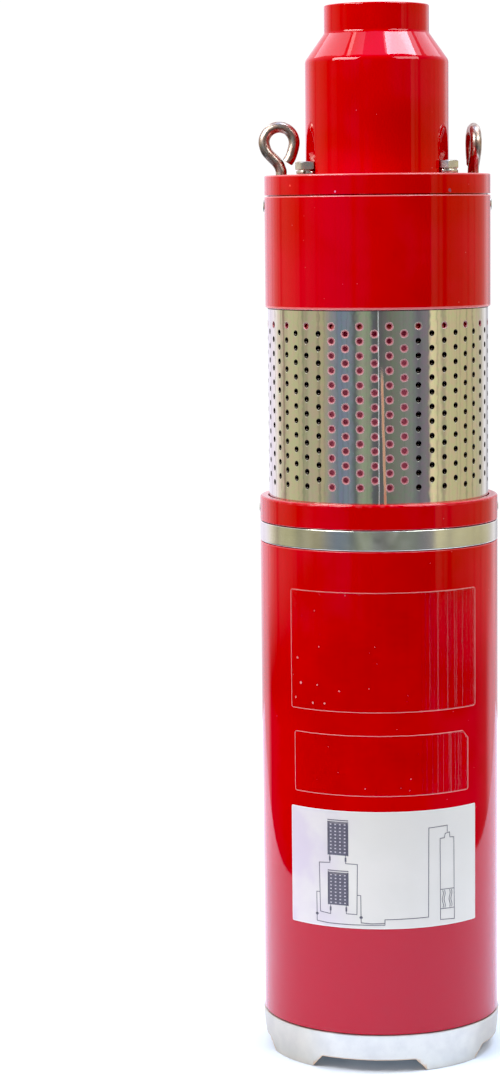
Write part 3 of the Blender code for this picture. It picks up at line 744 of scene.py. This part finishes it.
def perforated_sleeve(steel):
    """Perforated sheet sleeve. Each hole owns a tile a column wide and a pitch high, joined by four bands
    of twelve cells: tile edge to dimple rim, rim to lip, lip through the sheet, and back to the tile edge
    on the inside. A point of a ring of radius q at angle w from the hole's middle (c, h) is at azimuth
    c + q cos w / R and height h + q sin w. Holes below the spigot and outside the band where the tube shows
    from the front are plainer and are capped by a face inside the sheet that the finish paints black: painted
    shade where the real hole is open, over a plain inner tile. Columns with eleven holes get plain half tiles
    at both ends."""
    inner = SLEEVE_R - SLEEVE_WALL
    half_turn, half = np.pi / HOLE_COLUMNS, 0.5 * HOLE_PITCH
    column = np.arange(HOLE_COLUMNS)
    twelve = column % 2 == 1
    middle = HOLE_TURN + column * 2.0 * half_turn
    level = np.arange(HOLE_LEVELS)
    c, h = np.meshgrid(middle, HOLE_TOP - HOLE_PITCH * level, indexing="ij")
    h -= np.where(twelve, 0.0, half)[:, None]
    kept = twelve[:, None] | (level < HOLE_LEVELS - 1)
    c, h = c[kept][:, None], h[kept][:, None]
    edge_u = np.array((1, 1, 1, 0, -1, -1, -1, -1, -1, 0, 1, 1)) * half_turn
    edge_v = np.array((0, 0.5, 1, 1, 1, 0.5, 0, -0.5, -1, -1, -1, -0.5)) * half
    w = np.arange(12) * np.pi / 6.0

    def ring(q, radius):
        return at(radius, c + q * np.cos(w) / SLEEVE_R, h + q * np.sin(w))

    # holes below the spigot and outside the band where the tube shows from the front are capped inside the sheet:
    # painted shade where the real hole is open
    shade_capped = abs(np.degrees((c + np.pi) % FULL - np.pi) + TUBE_SEEN_MIDDLE) > TUBE_SEEN_HALF
    shade_capped &= h < SPIGOT_BOTTOM
    rim, lip, dimple = np.where(shade_capped, 1.29, 1.65), np.where(shade_capped, 1.21, 1.00), np.where(shade_capped, 0.04, 0.20)
    black = SLEEVE_R - 0.4
    rows = [at(SLEEVE_R, c + edge_u, h + edge_v), ring(rim, SLEEVE_R), ring(lip, SLEEVE_R - dimple),
            ring(lip - 0.03, inner), at(inner, c + edge_u, h + edge_v)]
    points = np.stack(rows, 1)
    to_middle = unit(ring(0.0, SLEEVE_R) - points[:, 2])
    shade_cap_rows = np.stack((ring(1.17, black), ring(0.0, black)), 1)
    tiles = np.stack((ring(0.0, inner), rows[4]), 1)[shade_capped[:, 0]]
    points[shade_capped[:, 0], 3:] = shade_cap_rows[shade_capped[:, 0]]
    out = at(1.0, np.arctan2(points[..., 0], -points[..., 1]), 0.0)
    looks = out.copy()
    closed = shade_capped[..., None]
    looks[:, 2] = out[:, 2] + to_middle * np.where(closed, 0.05, 0.75)
    looks[:, 3] = to_middle * 0.75 + out[:, 3] * np.where(closed, 0.65, -0.65)
    looks[:, 4] *= np.where(closed, 1.0, -1.0)
    # marks 0.6 and 1 on the rim and lip rows of open holes carry the finish's painted red reflection
    marks = np.array((0.0, 0.6, 1.0, 1.0, 0.0))[None, :, None] + 0.0 * points[..., 0]
    # capped holes: a negative mark on the lower rim carries the finish's painted highlight
    marks[shade_capped[:, 0]] = np.array((0.0, 1.0, 0.0, 0.0, 0.0))[:, None] * np.minimum(0.0, np.sin(w))
    grids = [grid(p, m) for p, m in zip(points, marks)] + [grid(p) for p in tiles]
    looks = [l.reshape(-1, 3) for l in looks]
    looks += list(-at(1.0, np.arctan2(tiles[..., 0], -tiles[..., 1]), 0.0).reshape(len(tiles), -1, 3))

    def plain(azimuth, heights):
        """Plain patches of the sheet's outer and inner face."""
        for radius, direction in ((SLEEVE_R, 1.0), (inner, -1.0)):
            patch = at(radius, azimuth, heights[:, None])
            grids.append(grid(patch, columns_close=len(azimuth) > 3))
            looks.append(at(direction, azimuth, 0.0 * heights[:, None]).reshape(-1, 3))

    top, bottom = HOLE_TOP + half, HOLE_TOP - (HOLE_LEVELS - 0.5) * HOLE_PITCH
    for k in column[~twelve]:
        for low in (HOLE_TOP, bottom):
            plain(middle[k] + np.array((-1, 0, 1)) * half_turn, low + np.array((0.0, 0.5, 1.0)) * half)
    whole = HOLE_TURN + np.arange(2 * HOLE_COLUMNS) * half_turn
    for near, far in ((top, HOUSING_BOTTOM - SEAM), (bottom, COLLAR_FLOOR + SEAM)):
        plain(whole, np.array((near, far)))
        grids.append(grid(np.stack([at(radius, whole, far) for radius in (SLEEVE_R, inner)])))
        looks.append(np.concatenate([at(d, whole, 0.0) for d in (1.0, -1.0)]))
    piece("strainer_sleeve", grids, steel, "strainer", crease=180.0, looks=np.concatenate(looks))


def head_grid():
    """Head with its flange, cylinder, cone and threaded outlet on one grid of profile rows and azimuths.
    In the cylinder a bolt pocket limits the radius to d cos e - sqrt(q^2 - (d sin e)^2), where e is the
    azimuth from the bolt, q the pocket's radius and d its middle's distance, which grows by the lean above
    the straight part. In the outlet the thread adds depth (1 - cos p) / 2, where the phase p grows by a
    turn for each pitch down and each turn round."""
    bolt_azimuth = np.arctan2(BOLTS[:, 0], -BOLTS[:, 1])
    bolt_reach = np.hypot(*BOLTS[0, :2])
    offsets = np.array((0, 1.5, 3, 4.5, 6, 7.3, 8.4, 9.2, 9.8, 10.2, 10.5, 10.7, 10.85, 10.95, 11.05, 11.2, 11.5, 12))
    fine = [np.degrees(a) + sign * offsets for a in bolt_azimuth for sign in (-1, 1)]
    azimuth = azimuths(3.0, fine)[None, :]
    low, seat = HOUSING_TOP + 0.5, HOUSING_TOP + 0.02
    flange, flange_marks = eased([
        (PASSAGE_R, seat, 0), (HOUSING_R - 1.0, seat, 0), (HOUSING_R - 1.0, low, 0), (HOUSING_R, low, 0.05),
        (HOUSING_R, FLANGE_TOP, 0.5), (HEAD_R + 0.6, FLANGE_TOP, 0)])
    # marks above 1.2 on the flange's top edge carry the enamel's painted highlight line
    flange_marks *= np.where(flange[:, 1] > FLANGE_TOP - 1.0, 1.6, 1.0)
    wall_z = np.concatenate((np.arange(FLANGE_TOP, 382.0, 0.4), (386.0, 395.0)))
    upper, upper_marks = eased([
        (HEAD_R, 404.0, 0), (HEAD_R, CONE_BOTTOM, 1.0), (OUTLET_R, CONE_TOP, 0.6), (OUTLET_R, OUTLET_TOP, 0.6),
        (BORE_R + 1.5, OUTLET_TOP, 0)], 5)
    thread_z = np.arange(OUTLET_TOP - 0.05, THREAD_END, -THREAD_PITCH / 8.0)
    end = [(BORE_R, THREAD_END - 0.4), (PASSAGE_R, THREAD_END - 2.0), (PASSAGE_R, 380.0)]
    wall = np.stack((np.full(len(wall_z), HEAD_R), wall_z), 1)
    thread = np.stack((np.full(len(thread_z), BORE_R), thread_z), 1)
    parts = {"flange": flange, "wall": wall, "upper": upper, "thread": thread, "end": end}
    profile = np.concatenate(list(parts.values()))
    kind = np.repeat(list(parts), [len(part) for part in parts.values()])[:, None]
    marks = np.zeros((len(kind), 1))
    marks[kind == "flange"], marks[kind == "upper"] = flange_marks, upper_marks * 0.6
    radius, z = profile[:, :1] + 0 * azimuth, profile[:, 1:] + 0 * azimuth
    for a in bolt_azimuth:
        e = (azimuth - a + np.pi) % FULL - np.pi
        d = bolt_reach + POCKET_LEAN * np.maximum(0.0, z - POCKET_STRAIGHT)
        inside = POCKET_R ** 2 - (d * np.sin(e)) ** 2
        limit = d * np.cos(e) - np.sqrt(np.maximum(inside, 0.0))
        radius = np.where((kind == "wall") & (inside > 0) & (np.cos(e) > 0), np.minimum(radius, limit), radius)
    phase = (z / THREAD_PITCH - azimuth / FULL) * FULL
    fade = np.clip((z - THREAD_END) / 2.5, 0.0, 1.0)
    groove = BORE_R + THREAD_DEPTH * fade * (0.5 - 0.5 * np.cos(phase))
    radius = np.where(kind == "thread", np.maximum(groove, BORE_R + z - OUTLET_TOP + 1.5), radius)
    return grid(at(radius, azimuth, z), marks, rows_close=True)


def bolt_grid(x, y, turn):
    """Hexagon bolt: round shank, then the head, whose side radius is a hexagon's and whose top edge falls
    by 0.6 of what the side stands outside the crown circle; the crown is very slightly domed."""
    a = around(60)
    side, crown, shank = hexagon(a, 9.0), 4.36, 2.9
    fall = np.maximum(0.0, side - crown) * 0.6
    low, high = BOLT_SEAT + 2.4, BOLT_SEAT + 5.7
    radius, height = stacked([
        (0.0, BOLT_SEAT), (shank, BOLT_SEAT), (shank, low), (side - 0.25, low), (side, low + 0.15),
        (side, high - 0.12 - fall), (side - 0.12, high - fall), (crown - 0.2, high), (2.0, high + 0.05),
        (0.0, high + 0.06)], a)
    return grid(at(radius, a + np.radians(turn), height) + (x, y, 0.0))


def washer_grid(x, y, turn):
    """Split spring washer: a softened square section that goes nearly once round and rises by 0.45."""
    share = np.linspace(0.0, 1.0, 61)[:, None]
    w = around(16)
    soft = (np.cos(w) ** 8 + np.sin(w) ** 8) ** -0.125
    size = np.where((share == 0.0) | (share == 1.0), 0.0, 1.0)
    middle, wide, thick, rise = 3.95, 0.75, 0.675, 0.45
    radius = middle + wide * soft * np.cos(w) * size
    height = BOLT_SEAT + SEAM + rise * share + thick + thick * soft * np.sin(w) * size
    share = np.clip(share * 1.04 - 0.02, 0.0, 1.0)
    return grid(at(radius, np.radians(turn + 8.0 + 344.0 * share), height) + (x, y, 0.0))


def eye_grid(x, z, turn):
    """Round bar bent to an eye. Its middle line is the cubic through guide points in the eye's own plane
    whose slope at each is half the step between its neighbours; a ring's point is middle + q (side cos w +
    across sin w), where side lies in that plane square to the line. The radius q drops to 0 at both ends."""
    w = np.radians(np.arange(180, -1, -30))
    loop = np.stack((-0.8 + 6.16 * np.cos(w), 13.5 + 6.16 * np.sin(w)), 1)
    guides = np.concatenate(([(0, -0.4), (0, 1.0), (-0.12, 2.1), (-1.15, 4.6), (-3.5, 7.2), (-5.9, 9.9)], loop,
                             [(4.75, 10.2), (3.8, 7.45), (2.45, 5.35)]))
    padded = np.concatenate((guides[:1], guides, guides[-1:]))
    p0, p1, p2, p3 = (padded[k:len(padded) - 3 + k][:, None] for k in range(4))
    t = np.arange(6)[None, :, None] / 6.0
    line = 0.5 * (2 * p1 + (p2 - p0) * t + (2 * p0 - 5 * p1 + 4 * p2 - p3) * t ** 2
                  + (3 * p1 - p0 - 3 * p2 + p3) * t ** 3)
    line = np.concatenate((line.reshape(-1, 2), guides[-1:]))
    along = unit(np.gradient(line, axis=0))
    order = np.clip(np.arange(-2, len(line) + 2), 0, len(line) - 1)
    size = np.concatenate(((0.0, 0.8, 1.0), np.ones(len(line) - 2), (1.0, 0.8, 0.0)))
    push = np.concatenate(((-0.1, -0.1, 0.1), np.zeros(len(line) - 2), (-0.25, 0.0, 0.05)))
    line, along = line[order] + along[order] * push[:, None], along[order]
    w = around(24)
    q = 2.3 * size[:, None]
    flat = line[:, :1] + along[:, 1:] * q * np.cos(w)
    high = line[:, 1:] - along[:, :1] * q * np.cos(w)
    deep = q * np.sin(w)
    c, s = np.cos(np.radians(turn)), np.sin(np.radians(turn))
    return grid(np.stack((x + flat * c - deep * s, flat * s + deep * c, z + high), -1))


def gland_grids():
    """Gland behind the head, as three closed rings of rows: the hexagon body, the domed nut and the
    rubber seal. Rows are round or hexagonal, and the hexagons lose their top corners to a cone."""
    a = around(72)
    seat = FLANGE_TOP + SEAM
    body_side, nut_side = hexagon(a, 13.0), hexagon(a, 12.4)
    body_fall, nut_fall = np.maximum(0.0, body_side - 6.2) * 0.5, np.maximum(0.0, nut_side - 6.0) * 0.5
    low = seat + 5.1
    body = [(4.05, seat - 0.5), (4.9, seat - 0.5), (4.9, seat), (body_side - 0.2, seat), (body_side, seat + 0.2),
            (body_side, seat + 4.6 - body_fall), (6.1, seat + 4.8), (5.4, seat + 4.8), (5.4, seat + 9.2),
            (4.05, seat + 9.2)]
    nut = [(5.7, low), (nut_side - 0.2, low), (nut_side, low + 0.2), (nut_side, low + 6.3 - nut_fall),
           (5.9, low + 6.6), (5.85, low + 8.2), (5.7, low + 9.1), (5.45, low + 9.8), (5.15, low + 10.2),
           (4.9, low + 10.3), (4.9, seat + 9.8), (5.7, seat + 9.5)]
    seal = [(4.05, seat + 9.5), (4.6, seat + 9.5), (4.6, low + 10.9), (4.45, low + 11.2), (4.15, low + 11.2),
            (4.05, low + 11.0)]
    made = []
    for rings in (body, nut, seal):
        radius, height = stacked(rings, a)
        made.append(grid(at(radius, a, height) + (0.0, GLAND_Y, 0.0), rows_close=True))
    return made


def head_parts(paint, zinc, bar, plated, seal):
    piece("head_casting", [head_grid()], paint, "discharge_head", crease=40.0)
    for k, (x, y, turn) in enumerate(BOLTS, 1):
        piece("bolt_%d" % k, [bolt_grid(x, y, turn)], zinc, "head_bolt_%d" % k, crease=24.0)
        washer = washer_grid(x, y, 90.0 * k + 255.0)
        piece("washer_%d" % k, [washer], zinc, "spring_washer_%d" % k, crease=50.0)
    piece("eye_left", [eye_grid(-EYE_X, FLANGE_TOP, 0.0)], bar, "eye_bolt_left", crease=60.0)
    piece("eye_right", [eye_grid(EYE_X, FLANGE_TOP - 1.4, 98.0)], bar, "eye_bolt_right", crease=60.0)
    base, dome, ring = gland_grids()
    piece("gland_base", [base], plated, "gland_body", crease=26.0)
    piece("gland_dome", [dome], plated, "gland_nut", crease=26.0)
    piece("gland_ring", [ring], seal, "gland_seal", crease=26.0)


def label(name, place, finish, corner=1.2, clip=0.0):
    """Sheet laid on the motor: rows at height z run over arcs s, and the arc's ends draw in near the top
    and bottom by corner - sqrt(corner^2 - (corner - h)^2), where h is the height from the edge, and by a
    straight cut at the upper right. Its mark is 1 along the outline and falls to 0 within a border."""
    border = 0.55
    s0, s1, z0, z1 = place
    rim = np.array((0.0, 0.12, 0.3, border, 0.8, 1.2))
    middle = np.linspace(z0 + 1.5, z1 - max(1.5, clip + 0.5), 30)
    z = np.unique(np.concatenate((z0 + rim, middle, z1 - rim, z1 - np.linspace(0.0, clip + 0.4, 14))))[:, None]
    h = np.minimum(np.minimum(z - z0, z1 - z), corner)
    draw = corner - np.sqrt(corner ** 2 - (corner - h) ** 2)
    left = s0 + draw
    right = s1 - np.maximum(draw, clip - (z1 - z))
    u = np.linspace(0.0, 1.0, 70)[None, :]
    s = left + 1.5 + u * (right - left - 3.0)
    s = np.concatenate((left + rim, s, right - rim[::-1]), 1)
    edge = np.minimum(np.minimum(s - left, right - s), np.minimum(z - z0, z1 - z))
    sheet = grid(at(MOTOR_R + LABEL_FACE, s / MOTOR_R, z), np.clip(1.0 - edge / border, 0.0, 1.0), False, False)
    made = piece(name, [sheet], finish, thick=LABEL_THICK)
    where = read(made.data.vertices, "co") / MM
    flat = np.stack((np.arctan2(where[:, 0], -where[:, 1]) * MOTOR_R, where[:, 2]), 1)
    corners = read(made.data.loops, "vertex_index", 1, np.int32)
    made.data.uv_layers.new(name="sheet").data.foreach_set("uv", flat[corners].astype(np.float32).ravel())


def strips(lines, width, stand_off=LINE_FACE, past=0.5):
    """Drawn lines: each straight piece from p to q becomes a strip, p + (q - p) t + side v, wrapped onto
    the motor, with v from -width / 2 to width / 2 and both ends longer by past times the width."""
    ends = np.concatenate([np.stack((line[:-1], line[1:]), 1) for line in lines])
    p, q = ends[:, 0], ends[:, 1]
    along = unit(q - p)
    side = np.stack((-along[:, 1], along[:, 0]), 1)
    p, q = p - along * width * past, q + along * width * past
    t = np.linspace(0.0, 1.0, 13)[None, None, :, None]
    v = np.linspace(0.5, -0.5, 2 + int(width))[None, :, None, None] * width
    flat = p[:, None, None] + (q - p)[:, None, None] * t + side[:, None, None] * v
    return [grid(at(MOTOR_R + stand_off, f[..., 0] / MOTOR_R, f[..., 1]), 0.0, False, False) for f in flat]


def wiring_drawing(ink, pale):
    """Plain wiring sketch: two gridded panels, their leads, two terminals and a pump outline."""
    turn = np.linspace(0.0, FULL, 13)
    dot = np.stack((np.cos(turn), np.sin(turn)), 1) * 0.45
    wave = np.stack((0.28 * np.sin(np.linspace(0, 9.0, 12)), np.linspace(74.3, 67.3, 12)), 1)
    lines = [
        [(-20.97, 89.6), (-20.97, 86.5), (-25.8, 86.1), (-25.4, 65.9), (-20.75, 65.4), (-20.75, 69.0)],
        [(-14.2, 89.8), (-14.2, 86.5), (-9.3, 86.4), (-9.6, 65.8), (-14.0, 65.9), (-14.0, 69.4)],
        [(-25.6, 74.0), (-27.1, 73.9), (-27.0, 61.9), (-21.9, 61.5), (-11.8, 61.5), (1.7, 61.7), (1.7, 63.9),
         (19.8, 64.1), (20.0, 100.7), (28.5, 101.0), (28.5, 98.4)],
        [(-9.4, 73.8), (-8.0, 73.7), (-7.9, 62.5), (-3.7, 62.2), (1.5, 62.4)],
        [(25.2, 62.5), (25.1, 95.9), (27.1, 96.0), (27.5, 97.7), (29.6, 98.1), (29.8, 96.0), (31.8, 95.8),
         (32.0, 62.0), (25.2, 62.5)],
        dot + (-26.95, 64.8), dot + (-7.9, 64.65),
        *[wave + (x, 0.0) for x in (26.3, 27.2, 29.6, 30.5)],
        *[[(25.2, z), (31.9, z - 0.2)] for z in (74.9, 66.9)],
    ]
    terminals = [[(s, z), (s, z - 1.0)] for s, z in ((-20.97, 88.6), (-14.2, 88.6), (-20.75, 68.0), (-14.0, 68.2))]
    terminals += [[(s - 0.3, z), (s + 0.3, z)] for s, z in ((-26.95, 64.8), (-7.9, 64.65))]
    frames, panels, cells = [], [], []
    for low, high, first in ((89.8, 103.4, 102.3), (69.3, 82.6, 81.5)):
        frames += [[(-21.8, z), (-13.2, z)] for z in (low + 0.1, high - 0.1, high + 0.7)]
        frames += [[(s, low), (s, high)] for s in (-21.8, -13.2)]
        panels.append([(-17.5, low + 0.1), (-17.5, high - 0.1)])
        for column in (-20.5, -18.5, -16.5, -14.5):
            cells += [[(column - 0.12, z), (column + 0.12, z)] for z in first - 1.42 * np.arange(9)]
    dark = strips(lines, 0.26) + strips(frames, 0.35) + strips(terminals, 0.7, TERMINAL_FACE)
    dark += strips(panels, 8.3, past=0.0)
    piece("sticker_drawing", dark, ink, thick=INK_THICK)
    piece("sticker_panel_cells", strips(cells, 0.45, CELL_FACE), pale, thick=INK_THICK)


def labels():
    label("film_upper", FILM_UPPER, clear_film("film_upper_clear", 0.0))
    label("film_lower", FILM_LOWER, clear_film("film_lower_clear", 37.0), clip=3.4)
    label("wiring_sticker", STICKER, vinyl(), corner=0.6)
    wiring_drawing(print_ink("drawing_ink", (0.16, 0.15, 0.18), (0.06, 0.05, 0.07)),
                   print_ink("cell_grey", (0.62, 0.58, 0.60), (0.44, 0.40, 0.44)))


camera()
floor()
room_light()
studio_lights()

chips = (((-16.6, -43.1, 355.3), 0.6, (0.72, 0.20, 0.34)), ((28.7, -36.1, 355.4), 1.1, (0.24, 0.06, 0.09)),
         ((-34.7, -30.4, 358.0), 0.6, (0.85, 0.07, 0.05)))
head_paint = red_enamel("head_enamel", chips)
# the body's enamel gets painted shade, darker from 115 mm down to 40 mm
body_paint = red_enamel("body_enamel", painted_shade_heights=(40.0, 115.0))
zinc = bright_bar("bolt_zinc_plate", (0.80, 0.78, 0.68), (0.62, 0.60, 0.52), 0.22)
bar = bright_bar("eye_bar_steel", (0.62, 0.55, 0.47), (0.42, 0.29, 0.23), 0.28, 0.002)
plated = bright_bar("gland_nickel_plate", (0.74, 0.71, 0.62), (0.60, 0.57, 0.48), 0.24)
motor_parts(body_paint, turned_steel(), cast_aluminium())
collar_and_housing(head_paint, zinc)
perforated_sleeve(sleeve_steel())
tube = solid_round(TUBE_R, COLLAR_FLOOR + SEAM, SPIGOT_BOTTOM - SEAM, 0.5, 3.0, (TUBE_X, 0.0))
piece("inner_tube_shell", [tube], tube_enamel(), "inner_tube")
head_parts(head_paint, zinc, bar, plated, rubber())
labels()

look = bpy.context.scene.view_settings
look.view_transform = "Standard"
look.use_curve_mapping = True
look.curve_mapping.black_level = (0.016, 0.016, 0.016)
look.curve_mapping.update()
